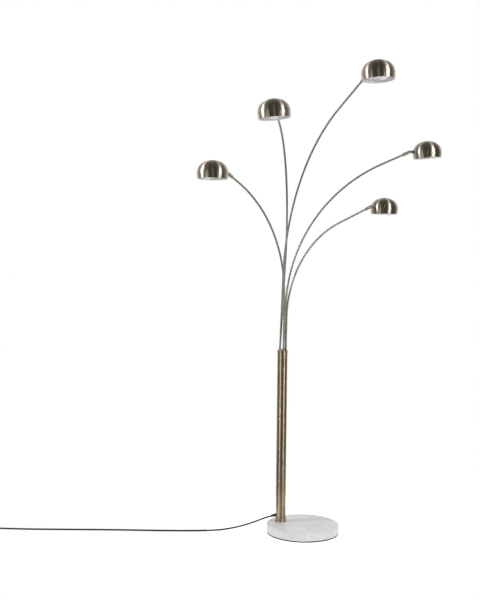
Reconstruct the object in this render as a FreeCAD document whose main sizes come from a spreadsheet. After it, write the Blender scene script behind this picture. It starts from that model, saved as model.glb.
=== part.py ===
import FreeCAD, Part
import math
import operator
import os
import Sketcher
from FreeCAD import Placement, Rotation, Vector

# Arc floor lamp with five arms: a round stone base, an off-centre column, five bent arms that turn
# in a ring of sockets, and a tilting dome shade on the end of each arm.
# Millimetres and degrees. Origin: centre of the base on the floor. +X right, +Y back, +Z up.
# A bearing is measured from +X towards +Y.

SIZES = {
    # stone base and the pad under it
    "base_radius": 150,
    "base_height": 33,
    "base_edge": 3,
    "pad_thickness": 4,
    "pad_inset": 1,
    "recess_radius": 22,
    "recess_depth": 16,
    # column
    "column_inset": 53.5,
    "column_bearing": 160.6,
    "column_radius": 21,
    "column_wall": 1.5,
    "column_length": 712,
    "collar_height": 20,
    "collar_wall": 1.4,
    "collar_edge": 0.8,
    "slip_gap": 0.1,
    # screwed foot of the column
    "foot_plug_height": 18,
    "stud_radius": 5,
    "stud_overrun": 2,
    "stud_hole_gap": 1,
    "washer_radius": 15,
    "washer_thickness": 2.5,
    "nut_radius": 9.5,
    "nut_height": 8,
    # cap with the ring of sockets
    "lip_height": 8,
    "lip_overhang": 1.2,
    "lip_edge": 1,
    "cap_depth": 20,
    "ring_radius": 13.5,
    "ring_turn": 0,
    "boss_height": 6,
    "boss_wall": 2.2,
    "socket_depth": 26,
    "wire_hole_radius": 2,
    # arm tube
    "arm_radius": 4,
    "arm_wall": 1,
    "turn_gap": 0.06,
    "seat_gap": 0.3,
    # knuckle on the end of an arm
    "sleeve_radius": 6.5,
    "sleeve_grip": 27,
    "sleeve_edge": 1,
    "pivot_reach": 8.5,
    "pin_radius": 2,
    "pin_recess": 0.2,
    "side_gap": 0.3,
    "tongue_thickness": 4.6,
    "tongue_width": 8.8,
    "eye_radius": 5.4,
    "stub_reach": 12,
    "flange_radius": 8,
    "flange_thickness": 2,
    "thread_radius": 4.8,
    # dome shade
    "shade_radius": 60,
    "crown_rise": 48,
    "shoulder_radius": 44.5,
    "skirt_drop": 23,
    "skirt_radius": 100,
    "shade_wall": 1,
    "head_drop": 8,
    "shade_nut_radius": 8,
    "shade_nut_height": 4,
    "shade_nut_gap": 1.2,
    # lampholder and bulb
    "holder_radius": 16.3,
    "holder_lip": 1.2,
    "holder_lip_length": 5,
    "holder_length": 36,
    "holder_back": 3,
    "bulb_radius": 22.5,
    "bulb_reach": 67,
    "bulb_flank": 24,
    "bulb_wall": 1,
    "bulb_neck": 13,
    "bulb_seat": 20,
    "bulb_gap": 0.5,
    # mains cord
    "cord_radius": 3.5,
    "exit_height": 27,
    "exit_droop": 15,
    "bushing_radius": 6.4,
    "bushing_neck": 6,
    "bushing_tip": 4.7,
    "bushing_length": 19,
    "bushing_shoulder": 2.5,
    "bushing_grip": 3.5,
    "bushing_inside": 4,
    "bore_gap": 0.15,
    "exit_run": 40,
    # cord switch
    "switch_length": 64,
    "switch_width": 34,
    "switch_height": 19,
    "switch_corner": 12,
    "switch_crown": 4,
    "switch_nose_radius": 4.5,
    "switch_nose_length": 10,
    "floor_gap": 0.2,
    "button_radius": 9,
    "button_rise": 4,
    "button_depth": 8,
    "button_edge": 1,
    "button_gap": 0.3,
    "button_travel": 3,
    # spare cord, coiled and tied
    "coil_radius": 38.5,
    "coil_turns": 3,
    "coil_pitch": 7.6,
    "coil_lead": 52,
    "coil_tail": 42,
    "tie_width": 8,
    "tie_thickness": 1,
    "tie_gap": 0.5,
    # plug
    "relief_length": 24,
    "relief_radius": 7,
    "relief_tip": 4.6,
    "plug_length": 30,
    "plug_width": 17,
    "plug_height": 24.6,
    "plug_edge": 4,
    "blade_length": 17,
    "blade_width": 6.3,
    "blade_thickness": 1.5,
    "blade_spacing": 12.7,
}

# One row for each arm, by letter: the bearing that it swings to, its straight rise, the radius and
# angle of its bend, its straight tip, the lean of its socket and the lean's bearing, the turn of
# its knuckle on the tip, and the upward tilt of its shade.
ARM_FIELDS = ("swing", "rise", "sweep", "bend", "tip", "lean", "lean_bearing", "turn", "tilt")
ARMS = {
    "e": (31.5, 138, 441, 65.5, 185, 0.8, 9, 0, 0),
    "d": (-0.8, 198, 676, 63.2, 121, 5, 59, 6, 7),
    "b": (-100.8, 365, 537, 75.3, 77, 3.3, 25, 8, -3),
    "c": (-64.4, 310, 731, 61.6, 200, 1.8, 2, 4, 4),
    "a": (-138.8, 236, 541, 57.8, 65, 4.3, -93, 4, 4),
}

# Route of the cord from the end of its straight exit to the switch, lying on the floor.
CORD_ROUTE = [
    (-190.5, 31.5, 37.2),
    (-232, 29.5, 23),
    (-282, 22.5, 10.8),
    (-338, 10.5, 4.6),
    (-398, -0.5, 3.7),
    (-470, -6.5, 3.7),
    (-555, -8, 3.7),
    (-650, -6.5, 3.7),
    (-748, -4, 3.7),
    (-846, -3.5, 3.7),
    (-944, -4.2, 3.7),
    (-1042, -5.4, 3.7),
    (-1138, -5.2, 3.7),
    (-1210, -3, 4.2),
    (-1258, -2, 4.9),
    (-1302, -2, 4.9),
]

X_AXIS = Vector(1, 0, 0)
Y_AXIS = Vector(0, 1, 0)
Z_AXIS = Vector(0, 0, 1)

doc = FreeCAD.newDocument("arc_floor_lamp")
sheet = doc.addObject("Spreadsheet::Sheet", "sizes")
nodes = {}


class Size:
    """A size of the sheet, or a sum of sizes: its value, and the expression that binds it."""

    def __init__(self, text, value):
        self.text = text
        self.value = value

    def joined(self, sign, work, other):
        other = other if isinstance(other, Size) else Size(str(other), other)
        return Size(f"({self.text} {sign} {other.text})", work(self.value, other.value))

    def __add__(self, other):
        return self.joined("+", operator.add, other)

    def __sub__(self, other):
        return self.joined("-", operator.sub, other)

    def __mul__(self, other):
        return self.joined("*", operator.mul, other)

    def __truediv__(self, other):
        return self.joined("/", operator.truediv, other)

    def __neg__(self):
        return self * -1

    def root(self):
        return Size(f"sqrt({self.text})", math.sqrt(self.value))

    def cos(self):
        return Size(f"cos({self.text} * 1deg)", math.cos(math.radians(self.value)))

    def sin(self):
        return Size(f"sin({self.text} * 1deg)", math.sin(math.radians(self.value)))


def fill_sheet():
    rows = dict(SIZES)
    for arm, values in ARMS.items():
        for field, value in zip(ARM_FIELDS, values):
            rows[f"arm_{arm}_{field}"] = value
    for row, (name, value) in enumerate(rows.items(), start=1):
        sheet.set(f"A{row}", name)
        sheet.set(f"B{row}", str(value))
        sheet.setAlias(f"B{row}", name)
    doc.recompute()


def size(name):
    return Size(f"sizes.{name}", float(sheet.get(name)))


def value(name):
    return size(name).value


ZERO = Size("0", 0.0)


def moved(x=0.0, y=0.0, z=0.0):
    return Placement(Vector(x, y, z), Rotation())


def turned_about(axis, angle):
    return Placement(Vector(), Rotation(axis, angle))


# Sketches and the features made from them


def origin_plane(body, role):
    return [plane for plane in body.Origin.OriginFeatures if plane.Role == role][0]


def new_sketch(body, role, name):
    sketch = body.newObject("Sketcher::SketchObject", name)
    sketch.AttachmentSupport = [(origin_plane(body, role), "")]
    sketch.MapMode = "FlatFace"
    return sketch


def axis_id(name):
    """The number by which a sketch knows its own horizontal or vertical axis."""
    return -1 - ["horizontal", "vertical"].index(name)


def point_id(name):
    """The number by which a sketch knows a point of its geometry."""
    return 1 + ["start", "end", "centre"].index(name)


def sketch_origin():
    return axis_id("horizontal"), point_id("start")


def bind(sketch, kind, geometry, point, distance):
    if distance.text == "0":
        axis = axis_id("vertical" if kind == "DistanceX" else "horizontal")
        sketch.addConstraint(Sketcher.Constraint("PointOnObject", geometry, point, axis))
        return
    dimension = Sketcher.Constraint(kind, *sketch_origin(), geometry, point, distance.value)
    index = sketch.addConstraint(dimension)
    sketch.setExpression(f"Constraints[{index}]", distance.text)


def arc_between(start, end, centre):
    """A circular arc by the shorter way round, and which of its ends is its start."""
    first = math.atan2(start.y - centre.y, start.x - centre.x)
    last = math.atan2(end.y - centre.y, end.x - centre.x)
    circle = Part.Circle(centre, Z_AXIS, start.distanceToPoint(centre))
    if (last - first) % math.tau < math.pi:
        return Part.ArcOfCircle(circle, first, last), 1, 2
    return Part.ArcOfCircle(circle, last, first), 2, 1


def draw(sketch, corners, closed=True):
    """Draw a chain of lines and arcs. A corner is (x, y), or (x, y, centre) where an arc starts."""
    spots = [Vector(corner[0].value, corner[1].value, 0) for corner in corners]
    count = len(corners) if closed else len(corners) - 1
    ends = []
    for index in range(count):
        start = spots[index]
        end = spots[(index + 1) % len(spots)]
        first, last = 1, 2
        if len(corners[index]) == 3:
            centre = corners[index][2]
            edge, first, last = arc_between(start, end, Vector(centre[0].value, centre[1].value, 0))
        else:
            edge = Part.LineSegment(start, end)
        ends.append((sketch.addGeometry(edge), first, last))
    for index, (geometry, first, last) in enumerate(ends):
        if closed or index + 1 < count:
            following, start_point, _ = ends[(index + 1) % len(ends)]
            joint = Sketcher.Constraint("Coincident", geometry, last, following, start_point)
            sketch.addConstraint(joint)
        bind(sketch, "DistanceX", geometry, first, corners[index][0])
        bind(sketch, "DistanceY", geometry, first, corners[index][1])
        if len(corners[index]) == 3:
            centre = corners[index][2]
            on_axis = centre[0].text == "0"
            kind = "DistanceX" if on_axis else "DistanceY"
            bind(sketch, kind, geometry, point_id("centre"), centre[0] if on_axis else centre[1])
    if not closed:
        geometry, _, last = ends[-1]
        bind(sketch, "DistanceX", geometry, last, corners[-1][0])
        bind(sketch, "DistanceY", geometry, last, corners[-1][1])


def ring_sketch(sketch, radii):
    for radius in radii:
        circle = Part.Circle(Vector(), Z_AXIS, radius.value)
        geometry = sketch.addGeometry(circle)
        middle = Sketcher.Constraint("Coincident", geometry, point_id("centre"), *sketch_origin())
        sketch.addConstraint(middle)
        index = sketch.addConstraint(Sketcher.Constraint("Radius", geometry, radius.value))
        sketch.setExpression(f"Constraints[{index}]", radius.text)


def turned(name, outline):
    """A body turned about its Z axis from an outline of (radius, height) corners."""
    body = doc.addObject("PartDesign::Body", name)
    sketch = new_sketch(body, "XZ_Plane", name + "_outline")
    draw(sketch, outline)
    feature = body.newObject("PartDesign::Revolution", name + "_turning")
    feature.Profile = sketch
    feature.ReferenceAxis = (sketch, ["V_Axis"])
    feature.Angle = 360
    return body


def tube_outline(inner, outer, low, high):
    return [(inner, low), (outer, low), (outer, high), (inner, high)]


def bent_tube(name, corners, outer, inner):
    """A round tube swept along a chain of lines and arcs in the XZ plane."""
    body = doc.addObject("PartDesign::Body", name)
    spine = new_sketch(body, "XZ_Plane", name + "_spine")
    draw(spine, corners, closed=False)
    section = new_sketch(body, "XY_Plane", name + "_section")
    ring_sketch(section, [outer, inner])
    pipe = body.newObject("PartDesign::AdditivePipe", name + "_pipe")
    pipe.Profile = section
    pipe.Spine = spine
    return body


def rounded_block(name, plane, length, width, height, corner):
    """A block padded from a rectangle with rounded corners, centred on its Z axis."""
    body = doc.addObject("PartDesign::Body", name)
    sketch = new_sketch(body, plane, name + "_outline")
    half = length / 2
    side = width / 2
    run = half - corner
    reach = side - corner
    draw(sketch, [
        (-run, -side),
        (run, -side, (run, -reach)),
        (half, -reach),
        (half, reach, (run, reach)),
        (run, side),
        (-run, side, (-run, reach)),
        (-half, reach),
        (-half, -reach, (-run, -reach)),
    ])
    pad = body.newObject("PartDesign::Pad", name + "_pad")
    pad.Profile = sketch
    pad.setExpression("Length", height.text)
    return body, pad


# Part primitives and booleans


def cylinder(name, radius, height, place=Placement()):
    solid = doc.addObject("Part::Cylinder", name)
    solid.setExpression("Radius", radius.text)
    solid.setExpression("Height", height.text)
    solid.Placement = place
    return solid


def cross_cylinder(name, radius, length, height):
    """A cylinder along Y, centred on the Z axis at a height."""
    place = moved(0, -length.value / 2, height.value) * turned_about(X_AXIS, -90)
    return cylinder(name, radius, length, place)


def box(name, length, width, height, corner):
    solid = doc.addObject("Part::Box", name)
    solid.setExpression("Length", length.text)
    solid.setExpression("Width", width.text)
    solid.setExpression("Height", height.text)
    solid.Placement = moved(*(edge.value for edge in corner))
    return solid


def hexagon(name, radius, height):
    solid = doc.addObject("Part::Prism", name)
    solid.Polygon = 6
    solid.setExpression("Circumradius", radius.text)
    solid.setExpression("Height", height.text)
    return solid


def fused(name, solids):
    union = doc.addObject("Part::MultiFuse", name)
    union.Shapes = solids
    return union


def cut(name, base, tools):
    tool = tools[0] if len(tools) == 1 else fused(name + "_tools", tools)
    result = doc.addObject("Part::Cut", name)
    result.Base = base
    result.Tool = tool
    return result


def keep(name, solid, place=None):
    """File a finished sub-part under its node name, at its place."""
    if place is not None:
        solid.Placement = place
    solid.Label = name
    nodes[name] = solid


# Places that several pieces share


def base_top():
    return value("pad_thickness") + value("base_height")


def column_axis():
    bearing = math.radians(value("column_bearing"))
    offset = value("base_radius") - value("column_inset")
    return Vector(offset * math.cos(bearing), offset * math.sin(bearing), 0)


def on_column(height):
    return Placement(column_axis() + Vector(0, 0, height), Rotation())


def cap_top():
    return base_top() + value("column_length") + value("lip_height")


def socket_frame(arm):
    """Origin at the mouth of an arm's socket, Z up its leaning axis and X towards its swing."""
    place = list(ARMS).index(arm)
    bearing = math.radians(value("ring_turn") + 360 / len(ARMS) * place)
    ring = value("ring_radius")
    mouth = column_axis() + Vector(ring * math.cos(bearing), ring * math.sin(bearing), cap_top())
    lean = math.radians(value(f"arm_{arm}_lean"))
    lean_bearing = math.radians(value(f"arm_{arm}_lean_bearing"))
    tilted = Vector(math.sin(lean) * math.cos(lean_bearing), math.sin(lean) * math.sin(lean_bearing))
    axis = tilted + Z_AXIS * math.cos(lean)
    swing = math.radians(value(f"arm_{arm}_swing"))
    side = axis.cross(Vector(math.cos(swing), math.sin(swing), 0)).normalize()
    return Placement(mouth, Rotation(side.cross(axis), side, axis, "ZXY"))


def arm_corners(arm):
    """Corners of an arm's centre line, from its foot in the socket to its end."""
    bend = size(f"arm_{arm}_bend")
    sweep = size(f"arm_{arm}_sweep")
    tip = size(f"arm_{arm}_tip")
    straight = size("socket_depth") - size("seat_gap") + size(f"arm_{arm}_rise")
    reach = sweep - sweep * bend.cos()
    height = straight + sweep * bend.sin()
    return [
        (ZERO, ZERO),
        (ZERO, straight, (sweep, straight)),
        (reach, height),
        (reach + tip * bend.sin(), height + tip * bend.cos()),
    ]


def arm_frame(arm):
    return socket_frame(arm) * moved(z=value("seat_gap") - value("socket_depth"))


def knuckle_frame(arm):
    """Origin at an arm's end, Z along its tip and Y along the pivot pin."""
    end = arm_corners(arm)[-1]
    tip = moved(end[0].value, 0, end[1].value) * turned_about(Y_AXIS, value(f"arm_{arm}_bend"))
    return arm_frame(arm) * tip * turned_about(Z_AXIS, value(f"arm_{arm}_turn"))


def head_frame(arm):
    """Origin on the pivot pin, Z along the axis of the stub, lampholder and bulb."""
    nod = 90 - value(f"arm_{arm}_bend") + value("head_drop") - value(f"arm_{arm}_tilt")
    return knuckle_frame(arm) * moved(z=value("pivot_reach")) * turned_about(Y_AXIS, nod)


def stub_seat():
    """Where the stub's axis goes square through the dome's wall, from the middle of the rim."""
    drop = size("head_drop")
    shoulder = size("shoulder_radius")
    across = size("shade_radius") - shoulder + shoulder * drop.cos()
    height = size("skirt_drop") + shoulder * drop.sin()
    return moved(-across.value, 0, height.value) * turned_about(Y_AXIS, 90 + drop.value)


def shade_frame(arm):
    """Origin at the middle of a shade's rim, Z up its axis."""
    return head_frame(arm) * moved(z=value("stub_reach")) * stub_seat().inverse()


def cord_exit():
    """Origin where the cord leaves the column's wall, Z along the cord."""
    wall = column_axis() - X_AXIS * value("column_radius")
    wall.z = base_top() + value("exit_height")
    droop = math.radians(value("exit_droop"))
    away = Vector(-math.cos(droop), 0, -math.sin(droop))
    return Placement(wall, Rotation(Z_AXIS, away))


# Base and column


def make_base():
    pad = cylinder("base_pad", size("base_radius") - size("pad_inset"), size("pad_thickness"))
    keep("base_pad", pad)
    radius = size("base_radius")
    height = size("base_height")
    edge = size("base_edge")
    body = turned("marble_disc", [
        (ZERO, ZERO),
        (radius - edge, ZERO, (radius - edge, edge)),
        (radius, edge),
        (radius, height - edge, (radius - edge, height - edge)),
        (radius - edge, height),
        (ZERO, height),
    ])
    recess = cylinder("stone_recess", size("recess_radius"), size("recess_depth"), on_column(0))
    hole_radius = size("stud_radius") + size("stud_hole_gap")
    hole = cylinder("stone_hole", hole_radius, height, on_column(0))
    keep("marble_base", cut("marble_base", body, [recess, hole]), moved(z=value("pad_thickness")))


def make_foot():
    """The stud that draws the column down on the base, with its washer, nut and threaded plug."""
    ceiling = value("pad_thickness") + value("recess_depth")
    washer_low = ceiling - value("washer_thickness")
    nut_low = washer_low - value("nut_height")
    stud_low = nut_low - value("stud_overrun")
    stud_gap = size("stud_radius") + size("slip_gap")
    plug_radius = size("column_radius") - size("column_wall") - size("slip_gap")
    plug = turned("foot_plug", tube_outline(stud_gap, plug_radius, ZERO, size("foot_plug_height")))
    keep("foot_plug", plug, on_column(base_top()))
    stud_length = (
        size("stud_overrun") * 2
        + size("nut_height")
        + size("washer_thickness")
        + size("base_height")
        - size("recess_depth")
        + size("foot_plug_height")
    )
    keep("column_stud", cylinder("column_stud", size("stud_radius"), stud_length), on_column(stud_low))
    ring = tube_outline(stud_gap, size("washer_radius"), ZERO, size("washer_thickness"))
    keep("stud_washer", turned("stud_washer", ring), on_column(washer_low))
    blank = hexagon("nut_blank", size("nut_radius"), size("nut_height"))
    bore = cylinder("nut_bore", stud_gap, size("nut_height"))
    keep("stud_nut", cut("stud_nut", blank, [bore]), on_column(nut_low))


def make_column():
    outer = size("column_radius")
    inner = outer - size("column_wall")
    body = turned("column_blank", tube_outline(inner, outer, ZERO, size("column_length")))
    body.Placement = on_column(base_top())
    hole_radius = size("bushing_neck") + size("slip_gap")
    hole = cylinder("column_hole", hole_radius, size("column_radius"))
    hole.Placement = cord_exit() * moved(z=-value("column_radius") / 2)
    keep("column_tube", cut("column_tube", body, [hole]))
    bore = outer + size("slip_gap")
    rim = bore + size("collar_wall")
    edge = size("collar_edge")
    height = size("collar_height")
    outline = [(bore, ZERO), (rim, ZERO), (rim, height - edge), (rim - edge, height), (bore, height)]
    keep("foot_collar", turned("foot_collar", outline), on_column(base_top()))


def make_cap():
    """The turned cap, with a raised socket for each arm and a wire hole under it."""
    shank = size("column_radius") - size("column_wall") - size("slip_gap")
    lip = size("column_radius") + size("lip_overhang")
    under = -size("lip_height")
    bottom = under - size("cap_depth")
    edge = size("lip_edge")
    body = turned("cap_blank", [
        (ZERO, bottom),
        (shank, bottom),
        (shank, under),
        (lip, under),
        (lip, -edge),
        (lip - edge, ZERO),
        (ZERO, ZERO),
    ])
    body.Placement = on_column(cap_top())
    depth = size("socket_depth")
    bore_radius = size("arm_radius") + size("turn_gap")
    boss_radius = bore_radius + size("boss_wall")
    rise = size("boss_height")
    bosses = []
    bores = []
    for arm in ARMS:
        frame = socket_frame(arm)
        sunk = frame * moved(z=-value("lip_height") / 2)
        bosses.append(cylinder(f"boss_{arm}", boss_radius, rise + size("lip_height") / 2, sunk))
        floor = frame * moved(z=-value("socket_depth"))
        bores.append(cylinder(f"socket_{arm}", bore_radius, depth + rise * 2, floor))
        below = frame * moved(z=-value("socket_depth") * 2)
        bores.append(cylinder(f"wire_hole_{arm}", size("wire_hole_radius"), depth * 2, below))
    keep("column_cap", cut("column_cap", fused("cap_with_bosses", [body] + bosses), bores))


# Arms and heads


def make_arm(arm):
    outer = size("arm_radius")
    tube = bent_tube(f"tube_{arm}", arm_corners(arm), outer, outer - size("arm_wall"))
    keep(f"arm_{arm}", tube, arm_frame(arm))


def make_knuckle(arm):
    """The sleeve on the arm's end: a round nose, slotted for the tongue and drilled for the pin."""
    radius = size("sleeve_radius")
    pivot = size("pivot_reach")
    bore = size("arm_radius") + size("turn_gap")
    grip = size("sleeve_grip")
    edge = size("sleeve_edge")
    blank = turned(f"sleeve_{arm}", [
        (bore, -grip),
        (radius - edge, -grip),
        (radius, edge - grip),
        (radius, pivot, (ZERO, pivot)),
        (ZERO, pivot + radius),
        (ZERO, size("seat_gap")),
        (bore, size("seat_gap")),
    ])
    slot_width = size("tongue_thickness") + size("side_gap") * 2
    slot_low = pivot - size("eye_radius") - size("side_gap")
    slot = box(
        f"slot_{arm}",
        radius * 2,
        slot_width,
        pivot + radius - slot_low,
        (-radius, -slot_width / 2, slot_low),
    )
    pin_hole = size("pin_radius") + size("turn_gap")
    hole = cross_cylinder(f"fork_hole_{arm}", pin_hole, radius * 2, pivot)
    keep(f"knuckle_{arm}", cut(f"knuckle_{arm}", blank, [slot, hole]), knuckle_frame(arm))
    length = radius * 2 - size("pin_recess") * 2
    pin = cross_cylinder(f"pivot_pin_{arm}", size("pin_radius"), length, ZERO)
    pivot_frame = knuckle_frame(arm) * moved(z=pivot.value)
    keep(f"pivot_pin_{arm}", pin, pivot_frame * pin.Placement)


def make_stub(arm):
    """The tongue on the pivot pin, its flange on the dome and its hollow thread through the wall."""
    thick = size("tongue_thickness")
    width = size("tongue_width")
    flange_low = size("stub_reach") - size("flange_thickness")
    eye = cross_cylinder(f"eye_{arm}", size("eye_radius"), thick, ZERO)
    tongue = box(f"tongue_{arm}", width, thick, flange_low, (-width / 2, -thick / 2, ZERO))
    flange = cylinder(f"flange_{arm}", size("flange_radius"), size("flange_thickness"))
    flange.Placement = moved(z=flange_low.value)
    thread_length = (
        size("shade_wall")
        + size("shade_nut_gap")
        + size("shade_nut_height")
        + size("holder_back") * 2
    )
    thread = cylinder(f"thread_{arm}", size("thread_radius"), thread_length)
    thread.Placement = moved(z=value("stub_reach"))
    pin_hole = size("pin_radius") + size("turn_gap")
    hole = cross_cylinder(f"eye_hole_{arm}", pin_hole, thick, ZERO)
    blank = fused(f"stub_blank_{arm}", [eye, tongue, flange, thread])
    keep(f"stub_{arm}", cut(f"stub_{arm}", blank, [hole]), head_frame(arm))


def dome_outline():
    """Half section of the dome: crown, shoulder and skirt arcs, outside and then inside."""
    radius = size("shade_radius")
    rise = size("crown_rise")
    shoulder = size("shoulder_radius")
    skirt = size("skirt_radius")
    widest = size("skirt_drop")
    wall = size("shade_wall")
    run = radius - shoulder
    crown = (run * run + rise * rise - shoulder * shoulder) / ((rise - shoulder) * 2)
    crown_centre = (ZERO, widest + rise - crown)
    shoulder_centre = (run, widest)
    skirt_centre = (radius - skirt, widest)
    spread = crown - shoulder

    def meeting(reach):
        """Where the crown and the shoulder meet, on the face with this crown radius."""
        return run * reach / spread, crown_centre[1] + (crown - rise) * reach / spread

    def rim(reach):
        return skirt_centre[0] + (reach * reach - widest * widest).root()

    return [
        (ZERO, widest + rise, crown_centre),
        (*meeting(crown), shoulder_centre),
        (radius, widest, skirt_centre),
        (rim(skirt), ZERO),
        (rim(skirt - wall), ZERO, skirt_centre),
        (radius - wall, widest, shoulder_centre),
        (*meeting(crown - wall), crown_centre),
        (ZERO, widest + rise - wall),
    ]


def make_shade(arm):
    dome = turned(f"dome_{arm}", dome_outline())
    hole_radius = size("thread_radius") + size("slip_gap")
    hole = cylinder(f"dome_hole_{arm}", hole_radius, size("stub_reach"))
    hole.Placement = stub_seat() * moved(z=-value("stub_reach") / 2)
    keep(f"shade_{arm}", cut(f"shade_{arm}", dome, [hole]), shade_frame(arm))


def holder_back_height():
    return (
        size("stub_reach")
        + size("shade_wall")
        + size("shade_nut_gap")
        + size("shade_nut_height")
    )


def make_lampholder(arm):
    hole = size("thread_radius") + size("slip_gap")
    blank = hexagon(f"shade_nut_blank_{arm}", size("shade_nut_radius"), size("shade_nut_height"))
    bore = cylinder(f"shade_nut_bore_{arm}", hole, size("shade_nut_height"))
    nut_height = holder_back_height().value - value("shade_nut_height")
    nut_place = head_frame(arm) * moved(z=nut_height)
    keep(f"shade_nut_{arm}", cut(f"shade_nut_{arm}", blank, [bore]), nut_place)
    outer = size("holder_radius")
    inner = size("bulb_neck") + size("bulb_gap")
    length = size("holder_length")
    back = size("holder_back")
    lip = outer + size("holder_lip")
    lip_low = length - size("holder_lip_length")
    cup = turned(f"lampholder_{arm}", [
        (hole, ZERO),
        (outer, ZERO),
        (outer, lip_low),
        (lip, lip_low),
        (lip, length),
        (inner, length),
        (inner, back),
        (hole, back),
    ])
    keep(f"lampholder_{arm}", cup, head_frame(arm) * moved(z=holder_back_height().value))


def make_bulb(arm):
    """A bulb in two pieces: a plain cap in the lampholder, and on it a hollow globe with a straight flank."""
    globe = size("bulb_radius")
    neck = size("bulb_neck")
    wall = size("bulb_wall")
    flank = size("bulb_flank")
    middle = size("bulb_reach") - globe
    low = -size("bulb_seat")

    def flank_corners(radius, throat):
        across = radius * flank.cos()
        high = middle - radius * flank.sin()
        return (throat, high - (across - throat) * flank.cos() / flank.sin()), (across, high)

    outer_low, outer_high = flank_corners(globe, neck)
    inner_low, inner_high = flank_corners(globe - wall, neck - wall)
    outline = [
        outer_low,
        (*outer_high, (ZERO, middle)),
        (ZERO, middle + globe),
        (ZERO, middle + globe - wall, (ZERO, middle)),
        inner_high,
        inner_low,
    ]
    cap_outline = tube_outline(neck - wall, neck, low, outer_low[1] - size("slip_gap"))
    mouth = holder_back_height().value + value("holder_length")
    place = head_frame(arm) * moved(z=mouth)
    keep(f"bulb_cap_{arm}", turned(f"bulb_cap_{arm}", cap_outline), place)
    keep(f"bulb_{arm}", turned(f"bulb_{arm}", outline), place)


# Mains cord


def make_bushing():
    """The tapered strain relief in the column's wall."""
    bore = size("cord_radius") + size("bore_gap")
    shoulder = size("bushing_shoulder")
    outline = [
        (bore, -size("bushing_inside")),
        (size("bushing_neck"), -size("bushing_inside")),
        (size("bushing_neck"), shoulder),
        (size("bushing_radius"), shoulder),
        (size("bushing_radius"), shoulder + size("bushing_grip")),
        (size("bushing_tip"), size("bushing_length")),
        (bore, size("bushing_length")),
    ]
    keep("cord_bushing", turned("cord_bushing", outline), cord_exit())


def arc_edge(start, apex, end):
    """The arc that leaves start towards apex and reaches end from it, as far from it as start."""
    middle = (start + end) * 0.5
    half = start.distanceToPoint(end) / 2
    height = apex.distanceToPoint(middle)
    sagitta = half * math.tan(math.atan2(height, half) / 2)
    crest = middle + (apex - middle) * (sagitta / height)
    return Part.Arc(start, crest, end)


def rounded_route(points):
    """Straight runs joined by tangent arcs that take 0.45 of the shorter run at each corner."""
    share = 0.45
    edges = []
    radii = []
    last = points[0]
    for before, corner, after in zip(points, points[1:], points[2:]):
        inward = corner - before
        outward = after - corner
        reach = share * min(inward.Length, outward.Length)
        start = corner - Vector(inward).normalize() * reach
        end = corner + Vector(outward).normalize() * reach
        edges.append(Part.LineSegment(last, start).toShape())
        edges.append(arc_edge(start, corner, end).toShape())
        radii.append(reach / math.tan(inward.getAngle(outward) / 2))
        last = end
    edges.append(Part.LineSegment(last, points[-1]).toShape())
    return edges, radii


def biarc(start, leave, end, arrive):
    """Two arcs in one smooth stretch from start to end, with the directions at both ends given."""
    chord = end - start
    both = leave + arrive
    square = both.dot(both) - 4
    cross = chord.dot(both)
    reach = (cross - math.sqrt(cross * cross - square * chord.dot(chord))) / square
    first_apex = start + leave * reach
    last_apex = end - arrive * reach
    joint = (first_apex + last_apex) * 0.5
    return [arc_edge(start, first_apex, joint), arc_edge(joint, last_apex, end)]


def cord_tube(edges):
    """A round tube along a chain of edges, checked by its volume."""
    wire = Part.Wire(edges)
    start = edges[0].valueAt(edges[0].FirstParameter)
    along = edges[0].tangentAt(edges[0].FirstParameter)
    radius = value("cord_radius")
    section = Part.Wire(Part.makeCircle(radius, start, along))
    solid = wire.makePipeShell([section], True, False)
    ratio = solid.Volume / (math.pi * radius * radius * wire.Length)
    print(f"cord length {wire.Length:.0f} mm, volume ratio {ratio:.4f}")
    return solid


def solid_feature(name, shape, place=Placement()):
    feature = doc.addObject("Part::Feature", name)
    feature.Shape = shape
    keep(name, feature, place)


def make_cord_run():
    leaving = cord_exit()
    inside = leaving.multVec(Vector(0, 0, -value("bushing_inside")))
    outside = leaving.multVec(Vector(0, 0, value("exit_run")))
    points = [inside, outside] + [Vector(*point) for point in CORD_ROUTE]
    edges, radii = rounded_route(points)
    print("cord radii", [round(radius) for radius in radii])
    solid_feature("cord_run", cord_tube(edges))


def switch_start():
    return Vector(*CORD_ROUTE[-1])


def switch_reach():
    return value("switch_length") + value("switch_nose_length") * 2


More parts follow.
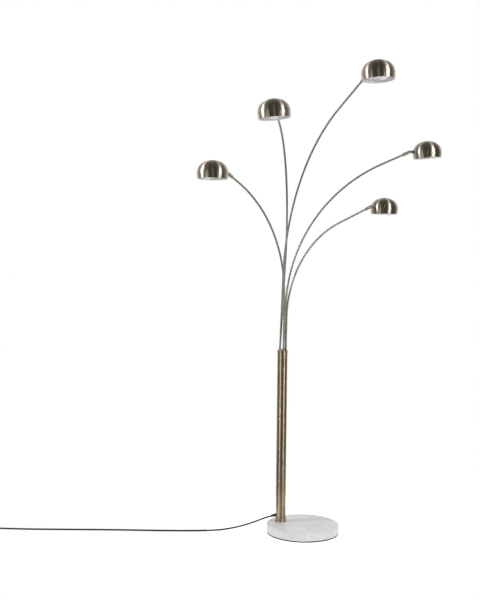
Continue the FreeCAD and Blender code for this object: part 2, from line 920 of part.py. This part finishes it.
def make_switch():
    """A foot switch on the cord: a rounded housing with a nose at each end, and a round button."""
    length = size("switch_length")
    height = size("switch_height")
    nose = size("switch_nose_length")
    centre = switch_start() - X_AXIS * (switch_reach() / 2)
    low = value("floor_gap")
    floor = moved(centre.x, centre.y, low)
    body, pad = rounded_block("switch_block", "XY_Plane", length, size("switch_width"), height,
                              size("switch_corner"))
    doc.recompute()
    top = body.Shape.BoundBox.ZMax
    crest = []
    for index, edge in enumerate(body.Shape.Edges, start=1):
        if edge.BoundBox.ZMin > top - value("floor_gap"):
            crest.append(f"Edge{index}")
    rounding = body.newObject("PartDesign::Fillet", "switch_rounding")
    rounding.Base = (pad, crest)
    rounding.setExpression("Radius", "sizes.switch_crown")
    body.Tip = rounding
    nose_bar = cylinder("switch_noses", size("switch_nose_radius"), length + nose * 2)
    nose_height = switch_start().z - low
    nose_bar.Placement = moved(-switch_reach() / 2, 0, nose_height) * turned_about(Y_AXIS, 90)
    button_radius = size("button_radius")
    well_depth = size("button_depth") + size("button_travel") + size("button_gap")
    well = cylinder("button_well", button_radius + size("button_gap"), well_depth)
    well.Placement = moved(z=height.value - well_depth.value)
    blank = fused("switch_blank", [body, nose_bar])
    keep("switch_body", cut("switch_body", blank, [well]), floor)
    edge = size("button_edge")
    rise = size("button_rise")
    outline = [
        (ZERO, -size("button_depth")),
        (button_radius, -size("button_depth")),
        (button_radius, rise - edge),
        (button_radius - edge, rise),
        (ZERO, rise),
    ]
    place = moved(centre.x, centre.y, low + height.value)
    keep("switch_button", turned("switch_button", outline), place)


def coil_start():
    return switch_start() - X_AXIS * switch_reach()


def coil_outer():
    return value("coil_radius") + value("coil_pitch") * value("coil_turns") / 4


def coil_centre():
    """Middle of the coil at the height of its lower layer; the cord comes in on its front."""
    return coil_start() + Vector(-value("coil_lead"), coil_outer(), 0)


def coil_point(turn):
    """A point of the coil: it winds in and out again, and climbs a layer half way along."""
    pitch = value("coil_pitch")
    half = value("coil_turns") / 2
    radius = coil_outer() - pitch * (half - abs(half - turn))
    halfway = 1 / 2
    climb = min(max((turn - half) * 2 + halfway, 0), 1)
    rise = pitch * climb * climb * (3 - 2 * climb)
    angle = -math.tau * (turn + 0.25)
    return coil_centre() + Vector(radius * math.cos(angle), radius * math.sin(angle), rise)


def coil_direction(turn):
    step = 1e-4
    turns = value("coil_turns")
    if turn <= 0 or turn >= turns:
        return -X_AXIS
    return (coil_point(turn + step) - coil_point(turn - step)).normalize()


def make_coil():
    quarter = 0.25
    turns = value("coil_turns")
    lead = Part.LineSegment(coil_start(), coil_point(0)).toShape()
    edges = [lead]
    for index in range(round(turns / quarter)):
        first = index * quarter
        last = first + quarter
        stretch = biarc(coil_point(first), coil_direction(first), coil_point(last), coil_direction(last))
        edges.extend(arc.toShape() for arc in stretch)
    end = coil_point(turns)
    edges.append(Part.LineSegment(end, end - X_AXIS * value("coil_tail")).toShape())
    solid_feature("cord_coil", cord_tube(edges))
    print(f"coil gap {self_gap(edges):.2f} mm")
    return end - X_AXIS * value("coil_tail")


def self_gap(edges):
    """The least gap between the coil's turns, on points along its centre line."""
    step = 2.0
    near = value("cord_radius") * math.pi * 2
    points = Part.Wire(edges).discretize(Distance=step)
    skip = math.ceil(near / step)
    least = math.inf
    for index, point in enumerate(points):
        for other in points[index + skip:]:
            least = min(least, point.distanceToPoint(other))
    return least - value("cord_radius") * 2


def make_tie():
    """A flat tie round the coil's strands, on the side away from the lamp."""
    gap = size("cord_radius") + size("tie_gap")
    thick = size("tie_thickness")
    pitch = size("coil_pitch")
    length = pitch + gap * 2
    height = pitch + gap * 2
    width = size("tie_width")
    outer = box("tie_outer", length + thick * 2, width, height + thick * 2,
                (-length / 2 - thick, -width / 2, -gap - thick))
    inner = box("tie_inner", length, width, height, (-length / 2, -width / 2, -gap))
    quarter = 0.25
    middle = (coil_point(quarter) + coil_point(1 + quarter)) * 0.5
    keep("coil_tie", cut("coil_tie", outer, [inner]), moved(middle.x, middle.y, coil_centre().z))


def make_plug(end):
    """A moulded plug: a tapered relief, a rounded body and two flat blades."""
    place = Placement(end, Rotation(Z_AXIS, -X_AXIS))
    relief = size("relief_length")
    cone = turned("plug_relief", [
        (ZERO, ZERO),
        (size("relief_tip"), ZERO),
        (size("relief_radius"), relief),
        (ZERO, relief),
    ])
    length = size("plug_length")
    body, _ = rounded_block("plug_block", "XY_Plane", size("plug_height"), size("plug_width"), length,
                            size("plug_edge"))
    body.Placement = moved(z=relief.value)
    keep("plug_body", fused("plug_body", [cone, body]), place)
    thick = size("blade_thickness")
    width = size("blade_width")
    face = relief + length
    for side, shift in (("upper", size("blade_spacing") / 2), ("lower", -size("blade_spacing") / 2)):
        blade = box(f"plug_blade_{side}", thick, width, size("blade_length"),
                    (shift - thick / 2, -width / 2, face))
        keep(f"plug_blade_{side}", blade, place * blade.Placement)


def check():
    """Stop if any object of the document failed, or if a sub-part isn't one sound solid."""
    doc.recompute()
    for item in doc.Objects:
        if "Invalid" in item.State or "Error" in item.State:
            raise RuntimeError(f"{item.Name} failed: {item.State}")
    for name, item in nodes.items():
        shape = item.Shape
        if shape.isNull() or not shape.isValid():
            raise RuntimeError(f"{name} has no sound shape")
        if len(shape.Solids) != 1:
            raise RuntimeError(f"{name} has {len(shape.Solids)} solids")


def export():
    os.makedirs("parts", exist_ok=True)
    for name, item in nodes.items():
        item.Shape.exportStep(os.path.join("parts", name + ".step"))
    print(f"{len(nodes)} sub-parts written")


fill_sheet()
make_base()
make_foot()
make_column()
make_cap()
for letter in ARMS:
    make_arm(letter)
    make_knuckle(letter)
    make_stub(letter)
    make_shade(letter)
    make_lampholder(letter)
    make_bulb(letter)
make_bushing()
make_cord_run()
make_switch()
cord_end = make_coil()
make_tie()
make_plug(cord_end)
check()
export()
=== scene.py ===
import math

import bmesh
import bpy
import numpy as np
from mathutils import Matrix, Vector


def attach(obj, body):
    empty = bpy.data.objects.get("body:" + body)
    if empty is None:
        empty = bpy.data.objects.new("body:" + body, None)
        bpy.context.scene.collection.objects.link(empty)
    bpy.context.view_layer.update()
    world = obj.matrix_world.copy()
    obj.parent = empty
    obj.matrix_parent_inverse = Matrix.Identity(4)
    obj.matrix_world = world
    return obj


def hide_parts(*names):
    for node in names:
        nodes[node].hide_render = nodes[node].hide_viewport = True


# Looks of the arc floor lamp: brushed antique brass, enamelled shades, a marble base and a black cord.
# Metres, in the model's own frame: +X right in the photograph, +Y away from the camera, +Z up.

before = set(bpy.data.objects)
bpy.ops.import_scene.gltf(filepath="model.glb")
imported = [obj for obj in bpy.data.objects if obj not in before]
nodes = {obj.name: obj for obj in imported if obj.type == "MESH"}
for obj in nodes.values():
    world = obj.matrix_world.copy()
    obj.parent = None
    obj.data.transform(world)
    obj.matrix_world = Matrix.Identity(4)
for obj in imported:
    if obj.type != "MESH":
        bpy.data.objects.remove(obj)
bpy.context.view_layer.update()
ARMS = "abcde"

# Camera, worked out from the base, the column and the shades in the photograph
CAMERA_PLACE = (-0.2701, -4.0171, 1.1604)
CAMERA_PITCH = 2.75
CAMERA_ROLL = 0.55
CAMERA_LENS = 58.5
SENSOR = 36

# Studio: the paper's left, right, front and back edges, and how grey it is and how bright it looks
FLOOR = (-0.40, 0.40, -0.27, 0.60)
PAPER_GREY = 0.80
PAPER_GLOW = 0.72
# The dim room that metal mirrors from the camera's side, and the even light from all round
ROOM_LIGHT = 0.075
FILL_LIGHT = 0.60
# Soft boxes: name, place, the point on the plan that it faces, width, height and power
BOX_COLOUR = (0.96, 0.99, 1.08)
SHADES_MIDDLE = (0.05, -0.20)
COLUMN_FOOT = (-0.09, 0.03)
SOFT_BOXES = [
    ("left_box", (-2.30, -0.52, 2.15), SHADES_MIDDLE, 0.60, 1.0, 32),
    ("right_box", (1.87, -1.47, 2.15), SHADES_MIDDLE, 0.55, 1.0, 30),
    ("left_low", (-2.17, -2.12, 0.19), COLUMN_FOOT, 1.0, 0.36, 13),
    ("right_low", (2.03, -2.09, 0.19), COLUMN_FOOT, 1.0, 0.36, 13),
    ("camera_side", (-0.27, -5.0, 2.0), SHADES_MIDDLE, 0.12, 1.2, 4),
]

# Dome shade: radius at its widest, height of the crown above that, the radii of the shoulder's and the
# skirt's curves, depth of the skirt, and the sheet's thickness
SHADE_RADIUS = 0.060
SHADE_RISE = 0.048
SHADE_SHOULDER = 0.0445
SHADE_SKIRT = 0.100
SHADE_DROP = 0.023
SHADE_WALL = 0.001
SHADE_STEPS = 128
CROWN_POINTS = 14
SHOULDER_POINTS = 16
SKIRT_POINTS = 8
EDGE_POINTS = 7

# Mains cord: the run from the column to the far side of the switch, then the put-away coil
CORD_RADIUS = 0.0035
CORD_ROUTE = [
    (-0.1082, 0.0320, 0.0650),
    (-0.1507, 0.0320, 0.0536),
    (-0.1905, 0.0315, 0.0372),
    (-0.2320, 0.0295, 0.0230),
    (-0.2820, 0.0225, 0.0108),
    (-0.3380, 0.0105, 0.0046),
    (-0.3980, -0.0005, 0.0037),
    (-0.4700, -0.0065, 0.0037),
    (-0.5550, -0.0080, 0.0037),
    (-0.6500, -0.0065, 0.0037),
    (-0.7480, -0.0040, 0.0037),
    (-0.8460, -0.0035, 0.0037),
    (-0.9440, -0.0042, 0.0037),
    (-1.0420, -0.0054, 0.0037),
    (-1.1380, -0.0052, 0.0037),
    (-1.2100, -0.0030, 0.0042),
    (-1.2580, -0.0020, 0.0049),
    (-1.3020, -0.0020, 0.0049),
    (-1.3220, -0.0020, 0.0049),
    (-1.3660, -0.0020, 0.0049),
    (-1.3860, -0.0020, 0.0049),
]
# Inside the switch, between these places along X, the cord is stripped and leaves room for the button
SWITCH_INSIDE = (-1.38, -1.31)
STRIPPED_SHARE = 0.75
COIL_RADIUS = 0.0385
COIL_TURNS = 3
COIL_PITCH = 0.0076
COIL_START = Vector((-1.4380, -0.0020, 0.0049))
COIL_TAIL = 0.042
COIL_POINTS_PER_TURN = 16


# Materials

# The range in which nearly all of a noise texture's values lie
NOISE_LOW, NOISE_HIGH = 0.3, 0.7
# Numbers of a colour mix's sockets, whose names aren't unique
MIX_SHARE, MIX_FIRST, MIX_SECOND, MIX_RESULT = 0, 6, 7, 2


class Shader:
    """A material's node tree, with short ways to add and link nodes."""

    def __init__(self, name):
        self.material = bpy.data.materials.new(name)
        self.material.use_nodes = True
        self.tree = self.material.node_tree
        self.surface = self.tree.nodes["Principled BSDF"]

    def add(self, kind, settings=None, **inputs):
        node = self.tree.nodes.new(kind)
        for key, setting in (settings or {}).items():
            setattr(node, key, setting)
        for key, value in inputs.items():
            self.feed(node, key.replace("_", " "), value)
        return node

    def feed(self, node, socket, value):
        target = node.inputs[socket]
        if isinstance(value, bpy.types.NodeSocket):
            self.tree.links.new(value, target)
        else:
            target.default_value = value

    def set(self, **inputs):
        for key, value in inputs.items():
            self.feed(self.surface, key.replace("_", " "), value)

    def place(self):
        return self.add("ShaderNodeTexCoord").outputs["Object"]

    def stretched(self, scale):
        mapping = self.add("ShaderNodeMapping", Vector=self.place())
        mapping.inputs["Scale"].default_value = scale
        return mapping.outputs["Vector"]

    def noise(self, vector, scale, detail=3.0, roughness=0.55):
        node = self.add(
            "ShaderNodeTexNoise", Vector=vector, Scale=scale, Detail=detail, Roughness=roughness
        )
        return node.outputs["Fac"]

    def ramp(self, value, stops):
        node = self.add("ShaderNodeValToRGB", Fac=value)
        elements = node.color_ramp.elements
        while len(elements) < len(stops):
            elements.new(0.5)
        for element, (place, colour) in zip(elements, stops):
            element.position = place
            element.color = (*colour, 1.0)
        return node.outputs["Color"]

    def spread(self, value, low, high):
        """Carry a noise value, which stays near the middle, to a range of plain numbers."""
        node = self.add("ShaderNodeMapRange", Value=value)
        node.inputs["From Min"].default_value = NOISE_LOW
        node.inputs["From Max"].default_value = NOISE_HIGH
        node.inputs["To Min"].default_value = low
        node.inputs["To Max"].default_value = high
        return node.outputs["Result"]

    def bump(self, height, strength, distance):
        node = self.add("ShaderNodeBump", Height=height, Strength=strength, Distance=distance)
        self.set(Normal=node.outputs["Normal"])


# Brushed brass: darkest and palest tone of the patina, roughness, and how far light is drawn out
COLUMN_BRASS = ((0.36, 0.29, 0.18), (0.45, 0.37, 0.24), 0.346, 0.49)
DOME_BRASS = ((0.42, 0.365, 0.277), (0.525, 0.46, 0.357), 0.37, 0.95)
ACROSS_THE_RINGS = 0.25


def tube_brass():
    """Satin antique brass of the thin arm tubes, with a slow drift of tone and faint polish marks."""
    shader = Shader("tube_brass")
    patina = shader.noise(shader.place(), 18.0, 3.0)
    marks = shader.noise(shader.place(), 160.0, 2.0)
    shader.set(
        Base_Color=shader.ramp(patina, [(0.34, (0.37, 0.352, 0.283)), (0.66, (0.425, 0.405, 0.33))]),
        Metallic=1.0,
        Roughness=shader.spread(marks, 0.48, 0.54),
    )
    shader.bump(marks, 0.03, 0.0002)
    return shader.material


def spun_brass(name, dark, pale, rough, stretch):
    """Brass brushed round its own Z axis: rings of brush lines, and light drawn out across them."""
    shader = Shader(name)
    spot = shader.add("ShaderNodeSeparateXYZ", Vector=shader.place())
    flat = shader.add("ShaderNodeCombineXYZ", X=spot.outputs["X"], Y=spot.outputs["Y"])
    radius = shader.add("ShaderNodeVectorMath", {"operation": "LENGTH"})
    shader.feed(radius, 0, flat.outputs["Vector"])
    ring = shader.add("ShaderNodeCombineXYZ", X=radius.outputs["Value"], Y=spot.outputs["Z"])
    lines = shader.noise(ring.outputs["Vector"], 1400.0, 3.0, 0.7)
    patina = shader.noise(shader.place(), 34.0, 4.0)
    shader.set(
        Base_Color=shader.ramp(patina, [(0.34, dark), (0.66, pale)]),
        Metallic=1.0,
        Roughness=shader.spread(lines, rough - 0.02, rough + 0.02),
        Anisotropic=stretch,
        Anisotropic_Rotation=ACROSS_THE_RINGS,
    )
    tangent = shader.add("ShaderNodeTangent", {"direction_type": "RADIAL", "axis": "Z"})
    shader.set(Tangent=tangent.outputs["Tangent"])
    shader.bump(lines, 0.04, 0.0002)
    return shader.material


def white_enamel():
    shader = Shader("white_enamel")
    drift = shader.noise(shader.place(), 45.0, 3.0)
    peel = shader.noise(shader.place(), 420.0, 2.0)
    shader.set(
        Base_Color=shader.ramp(drift, [(0.35, (0.80, 0.79, 0.765)), (0.65, (0.86, 0.855, 0.84))]),
        Roughness=shader.spread(peel, 0.30, 0.42),
    )
    shader.bump(peel, 0.08, 0.0003)
    return shader.material


def marble():
    """Pale grey stone with soft clouds and a few thin veins."""
    shader = Shader("marble")
    place = shader.place()
    warp = shader.add("ShaderNodeTexNoise", Vector=place, Scale=7.0, Detail=5.0)
    shifted = shader.add("ShaderNodeVectorMath", {"operation": "MULTIPLY_ADD"})
    shader.feed(shifted, 0, warp.outputs["Color"])
    shader.feed(shifted, 1, (0.16, 0.16, 0.16))
    shader.feed(shifted, 2, place)
    clouds = shader.noise(shifted.outputs["Vector"], 9.0, 6.0, 0.6)
    stone = shader.ramp(clouds, [
        (0.30, (0.62, 0.605, 0.57)),
        (0.50, (0.71, 0.695, 0.66)),
        (0.70, (0.76, 0.745, 0.71)),
    ])
    wave = shader.add("ShaderNodeTexWave", {"wave_type": "BANDS", "bands_direction": "DIAGONAL"})
    shader.feed(wave, "Vector", shifted.outputs["Vector"])
    shader.feed(wave, "Scale", 5.0)
    shader.feed(wave, "Distortion", 9.0)
    shader.feed(wave, "Detail", 4.0)
    shader.feed(wave, "Detail Scale", 1.6)
    vein = shader.ramp(wave.outputs["Fac"], [(0.0, (1, 1, 1)), (0.055, (0, 0, 0))])
    veined = shader.add("ShaderNodeMix", {"data_type": "RGBA"})
    shader.feed(veined, MIX_SHARE, vein)
    shader.feed(veined, MIX_FIRST, stone)
    shader.feed(veined, MIX_SECOND, (0.65, 0.635, 0.60, 1.0))
    grain = shader.noise(place, 900.0, 2.0)
    shader.set(Base_Color=veined.outputs[MIX_RESULT], Roughness=shader.spread(clouds, 0.34, 0.46))
    shader.bump(grain, 0.05, 0.0003)
    return shader.material


def moulded(name, dark, pale, rough, texture_scale):
    """Rubber or plastic with a fine moulded texture and a little dust in its tone."""
    shader = Shader(name)
    drift = shader.noise(shader.place(), 60.0, 3.0)
    texture = shader.noise(shader.place(), texture_scale, 2.0)
    shader.set(
        Base_Color=shader.ramp(drift, [(0.35, dark), (0.65, pale)]),
        Roughness=shader.spread(texture, rough - 0.07, rough + 0.07),
    )
    shader.bump(texture, 0.15, 0.0003)
    return shader.material


def frosted_glass():
    shader = Shader("frosted_glass")
    frost = shader.noise(shader.place(), 700.0, 3.0)
    drift = shader.noise(shader.place(), 40.0, 2.0)
    shader.set(
        Base_Color=shader.ramp(drift, [(0.35, (0.87, 0.865, 0.85)), (0.65, (0.90, 0.895, 0.88))]),
        Roughness=shader.spread(frost, 0.38, 0.50),
    )
    shader.bump(frost, 0.06, 0.0002)
    return shader.material


def plated_steel():
    shader = Shader("plated_steel")
    lines = shader.noise(shader.stretched((900.0, 900.0, 120.0)), 1.0, 3.0)
    drift = shader.noise(shader.place(), 90.0, 3.0)
    shader.set(
        Base_Color=shader.ramp(drift, [(0.35, (0.50, 0.50, 0.49)), (0.65, (0.62, 0.62, 0.61))]),
        Metallic=1.0,
        Roughness=shader.spread(lines, 0.28, 0.42),
    )
    shader.bump(lines, 0.08, 0.0002)
    return shader.material


def bright_brass():
    shader = Shader("blade_brass")
    lines = shader.noise(shader.stretched((120.0, 1500.0, 1500.0)), 1.0, 3.0)
    shader.set(
        Base_Color=shader.ramp(lines, [(0.35, (0.62, 0.48, 0.24)), (0.65, (0.74, 0.60, 0.34))]),
        Metallic=1.0,
        Roughness=shader.spread(lines, 0.22, 0.32),
    )
    shader.bump(lines, 0.06, 0.0002)
    return shader.material


def dress(names, material):
    for name in names:
        mesh = nodes[name].data
        mesh.materials.clear()
        mesh.materials.append(material)


def per_arm(part):
    return [f"{part}_{arm}" for arm in ARMS]


def dress_nodes():
    column_brass = spun_brass("column_brass", *COLUMN_BRASS)
    dress(["column_tube", "foot_collar", "column_cap"], column_brass)
    dress(per_arm("arm") + per_arm("knuckle") + per_arm("stub"), tube_brass())
    dress(per_arm("pivot_pin") + per_arm("shade_nut"), plated_steel())
    dress(["foot_plug", "column_stud", "stud_washer", "stud_nut"], plated_steel())
    dress(["marble_base"], marble())
    rubber = moulded("black_rubber", (0.012, 0.012, 0.012), (0.03, 0.03, 0.03), 0.6, 900.0)
    dress(["base_pad", "cord_bushing"], rubber)
    plastic = moulded("black_plastic", (0.012, 0.012, 0.013), (0.026, 0.026, 0.028), 0.45, 1300.0)
    dress(["plug_body", "switch_body", "switch_button", "coil_tie"], plastic)
    dress(["plug_blade_upper", "plug_blade_lower"], bright_brass())
    white_plastic = moulded("white_plastic", (0.76, 0.755, 0.73), (0.84, 0.835, 0.81), 0.42, 800.0)
    dress(per_arm("lampholder") + per_arm("bulb_cap"), white_plastic)
    dress(per_arm("bulb"), frosted_glass())


# Shades


def turned_axis(node):
    """The axis of a turned node, as a point and a direction: every face's normal line meets it."""
    mesh = nodes[node].data
    count = len(mesh.polygons)
    centres = np.empty(count * 3)
    normals = np.empty(count * 3)
    areas = np.empty(count)
    mesh.polygons.foreach_get("center", centres)
    mesh.polygons.foreach_get("normal", normals)
    mesh.polygons.foreach_get("area", areas)
    centres = centres.reshape(-1, 3)
    normals = normals.reshape(-1, 3)
    middle = centres.mean(axis=0)
    reach = np.abs(centres - middle).max()
    spots = (centres - middle) / reach
    lines = np.hstack([np.cross(spots, normals), normals]) * np.sqrt(areas)[:, None]
    solution = np.linalg.svd(lines, full_matrices=False)[2][-1]
    along, moment = solution[:3], solution[3:]
    length = np.linalg.norm(along)
    point = np.cross(along, moment) / length ** 2 * reach + middle
    return Vector(point), Vector(along / length)


def shade_matrix(arm):
    """A shade's own frame: origin at the middle of its rim, Z up its axis, turned no further than that."""
    point, axis = turned_axis(f"shade_{arm}")
    if axis.z < 0:
        axis.negate()
    heights = [(vertex.co - point).dot(axis) for vertex in nodes[f"shade_{arm}"].data.vertices]
    rim = point + axis * min(heights)
    tilt = Vector((0.0, 0.0, 1.0)).rotation_difference(axis).to_matrix().to_4x4()
    return Matrix.Translation(rim) @ tilt


def arc(centre, radius, start, end, count):
    """Points of an arc in the half section, by angle from the horizontal."""
    angles = np.linspace(start, end, count)
    return [(centre[0] + radius * math.cos(a), centre[1] + radius * math.sin(a)) for a in angles]


def dome_face(inset):
    """Half section of one face of the dome, from its crown to its rim."""
    run = SHADE_RADIUS - SHADE_SHOULDER
    crown = (run ** 2 + SHADE_RISE ** 2 - SHADE_SHOULDER ** 2) / (2 * (SHADE_RISE - SHADE_SHOULDER))
    crown_centre = (0.0, SHADE_DROP + SHADE_RISE - crown)
    meeting = math.atan2(SHADE_DROP - crown_centre[1], run)
    skirt = SHADE_SKIRT - inset
    rim = -math.asin(SHADE_DROP / skirt)
    top = arc(crown_centre, crown - inset, math.pi / 2, meeting, CROWN_POINTS)
    shoulder = arc((run, SHADE_DROP), SHADE_SHOULDER - inset, meeting, 0.0, SHOULDER_POINTS)
    sides = arc((SHADE_RADIUS - SHADE_SKIRT, SHADE_DROP), skirt, 0.0, rim, SKIRT_POINTS)
    return top + shoulder[1:] + sides[1:]


def make_shade(arm, materials):
    """The dome as a spun sheet: brass outside, white enamel inside, with a rounded edge."""
    outer = dome_face(0.0)
    inner = dome_face(SHADE_WALL)
    middle = ((outer[-1][0] + inner[-1][0]) / 2, 0.0)
    edge = arc(middle, SHADE_WALL / 2, 0.0, -math.pi, EDGE_POINTS)
    lift = SHADE_WALL / 2
    outline = outer[:-1] + [(r, z + lift) for r, z in edge] + inner[-2::-1]
    angles = [math.tau * k / SHADE_STEPS for k in range(SHADE_STEPS)]
    mesh = bmesh.new()
    rings = []
    for radius, height in outline:
        on_axis = radius < 1e-9
        if on_axis:
            rings.append([mesh.verts.new((0.0, 0.0, height))])
            continue
        rings.append([mesh.verts.new((radius * math.cos(a), radius * math.sin(a), height)) for a in angles])
    inside_from = len(outer) - 1 + len(edge) // 2
    for index, (above, below) in enumerate(zip(rings, rings[1:])):
        for k in range(SHADE_STEPS):
            following = (k + 1) % SHADE_STEPS
            corners = [above[k % len(above)], below[k % len(below)], below[following % len(below)]]
            if len(above) > 1:
                corners.append(above[following])
            if len(below) == 1:
                corners = [above[k], below[0], above[following]]
            face = mesh.faces.new(corners)
            face.smooth = True
            face.material_index = 1 if index >= inside_from else 0
    bmesh.ops.recalc_face_normals(mesh, faces=mesh.faces)
    data = bpy.data.meshes.new(f"dome_{arm}")
    mesh.to_mesh(data)
    mesh.free()
    piece = bpy.data.objects.new(f"dome_{arm}", data)
    bpy.context.collection.objects.link(piece)
    for material in materials:
        data.materials.append(material)
    piece.matrix_world = shade_matrix(arm)
    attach(piece, f"head_{arm}")
    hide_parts(f"shade_{arm}")


# Cord


def coil_point(turn):
    """A point of the put-away coil: it winds in and out again, and climbs a layer half way along."""
    half = COIL_TURNS / 2
    outer = COIL_RADIUS + COIL_PITCH * COIL_TURNS / 4
    radius = outer - COIL_PITCH * (half - abs(half - turn))
    climb = min(max((turn - half) * 2 + 0.5, 0), 1)
    rise = COIL_PITCH * climb * climb * (3 - 2 * climb)
    angle = -math.tau * (turn + 0.25)
    return COIL_START + Vector((radius * math.cos(angle), outer + radius * math.sin(angle), rise))


def make_cord():
    steps = COIL_TURNS * COIL_POINTS_PER_TURN
    loops = [coil_point(k / COIL_POINTS_PER_TURN) for k in range(steps + 1)]
    end = loops[-1] - Vector((COIL_TAIL, 0.0, 0.0))
    points = [Vector(point) for point in CORD_ROUTE] + loops + [end]
    curve = bpy.data.curves.new("mains_cord", "CURVE")
    curve.dimensions = "3D"
    curve.bevel_depth = CORD_RADIUS
    curve.bevel_resolution = 6
    curve.use_fill_caps = True
    curve.resolution_u = 8
    spline = curve.splines.new("NURBS")
    spline.points.add(len(points) - 1)
    for point, place in zip(spline.points, points):
        point.co = (*place, 1.0)
        stripped = SWITCH_INSIDE[0] < place.x < SWITCH_INSIDE[1]
        point.radius = STRIPPED_SHARE if stripped else 1.0
    spline.order_u = 3
    spline.use_endpoint_u = True
    cord = bpy.data.objects.new("mains_cord", curve)
    bpy.context.collection.objects.link(cord)
    sheath = moulded("cord_sheath", (0.010, 0.010, 0.010), (0.022, 0.022, 0.022), 0.42, 1600.0)
    curve.materials.append(sheath)
    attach(cord, "stand")
    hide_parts("cord_run", "cord_coil")


# Camera, floor and light


def make_camera():
    camera = bpy.data.objects.new("camera", bpy.data.cameras.new("camera"))
    bpy.context.collection.objects.link(camera)
    camera.data.lens = CAMERA_LENS
    camera.data.sensor_width = SENSOR
    pitch = Matrix.Rotation(math.radians(90 - CAMERA_PITCH), 4, "X")
    roll = Matrix.Rotation(math.radians(CAMERA_ROLL), 4, "Z")
    camera.matrix_world = Matrix.Translation(CAMERA_PLACE) @ pitch @ roll
    bpy.context.scene.camera = camera


def seen_white(tree):
    """One for every ray that should find the white background: straight, mirrored or through glass."""
    path = tree.nodes.new("ShaderNodeLightPath")
    total = path.outputs["Is Camera Ray"]
    for ray in ("Is Glossy Ray", "Is Transmission Ray"):
        either = tree.nodes.new("ShaderNodeMath")
        either.operation = "MAXIMUM"
        tree.links.new(total, either.inputs[0])
        tree.links.new(path.outputs[ray], either.inputs[1])
        total = either.outputs["Value"]
    return total


def make_floor():
    """A sheet of white paper that ends a little in front of the lamp and keeps a faint shadow."""
    left, right, front, back = FLOOR
    data = bpy.data.meshes.new("floor")
    corners = [(left, front, 0.0), (right, front, 0.0), (right, back, 0.0), (left, back, 0.0)]
    data.from_pydata(corners, [], [(0, 1, 2, 3)])
    floor = bpy.data.objects.new("floor", data)
    bpy.context.collection.objects.link(floor)
    shader = Shader("floor_paper")
    tree = shader.tree
    shader.set(Base_Color=(PAPER_GREY, PAPER_GREY, PAPER_GREY, 1.0), Roughness=0.9, Specular_IOR_Level=0.0)
    glow = shader.add("ShaderNodeEmission", Color=(1.0, 1.0, 1.0, 1.0), Strength=PAPER_GLOW)
    plain = shader.add("ShaderNodeAddShader")
    shader.feed(plain, 0, shader.surface.outputs["BSDF"])
    shader.feed(plain, 1, glow.outputs["Emission"])
    seen = shader.add("ShaderNodeMixShader")
    shader.feed(seen, 0, seen_white(tree))
    shader.feed(seen, 1, shader.surface.outputs["BSDF"])
    shader.feed(seen, 2, plain.outputs["Shader"])
    tree.links.new(seen.outputs["Shader"], tree.nodes["Material Output"].inputs["Surface"])
    data.materials.append(shader.material)


def make_world():
    """White to the camera and through glass; metal finds white behind the lamp and a dim room in front."""
    world = bpy.data.worlds.new("studio")
    bpy.context.scene.world = world
    world.use_nodes = True
    tree = world.node_tree
    background = tree.nodes["Background"]
    add = tree.nodes.new
    place = add("ShaderNodeTexCoord")
    split = add("ShaderNodeSeparateXYZ")
    tree.links.new(place.outputs["Generated"], split.inputs["Vector"])
    room = add("ShaderNodeMapRange")
    room.interpolation_type = "SMOOTHSTEP"
    room.inputs["From Min"].default_value = 0.0
    room.inputs["From Max"].default_value = 1.0
    room.inputs["To Min"].default_value = ROOM_LIGHT
    room.inputs["To Max"].default_value = 1.0
    tree.links.new(split.outputs["Y"], room.inputs["Value"])
    path = add("ShaderNodeLightPath")
    direct = add("ShaderNodeMath")
    direct.operation = "MAXIMUM"
    tree.links.new(path.outputs["Is Camera Ray"], direct.inputs[0])
    tree.links.new(path.outputs["Is Transmission Ray"], direct.inputs[1])
    mirrored = add("ShaderNodeMix")
    tree.links.new(path.outputs["Is Glossy Ray"], mirrored.inputs["Factor"])
    mirrored.inputs["A"].default_value = FILL_LIGHT
    tree.links.new(room.outputs["Result"], mirrored.inputs["B"])
    strength = add("ShaderNodeMix")
    tree.links.new(direct.outputs["Value"], strength.inputs["Factor"])
    tree.links.new(mirrored.outputs["Result"], strength.inputs["A"])
    strength.inputs["B"].default_value = 1.0
    background.inputs["Color"].default_value = (1.0, 1.0, 1.0, 1.0)
    tree.links.new(strength.outputs["Result"], background.inputs["Strength"])


def soft_box(name, place, aim, width, tall, power):
    """A soft box that stands upright, faces the aim and is slightly cooler than the room."""
    data = bpy.data.lights.new(name, "AREA")
    data.shape = "RECTANGLE"
    data.size = width
    data.size_y = tall
    data.energy = power
    data.color = BOX_COLOUR
    lamp = bpy.data.objects.new(name, data)
    bpy.context.collection.objects.link(lamp)
    facing = Vector((aim[0] - place[0], aim[1] - place[1], 0.0))
    lamp.matrix_world = Matrix.Translation(place) @ facing.to_track_quat("-Z", "Y").to_matrix().to_4x4()


def make_lights():
    for box in SOFT_BOXES:
        soft_box(*box)


make_camera()
make_floor()
make_world()
make_lights()
dress_nodes()
shade_materials = [spun_brass("dome_brass", *DOME_BRASS), white_enamel()]
for letter in ARMS:
    make_shade(letter, shade_materials)
make_cord()
bpy.context.scene.view_settings.view_transform = "Standard"
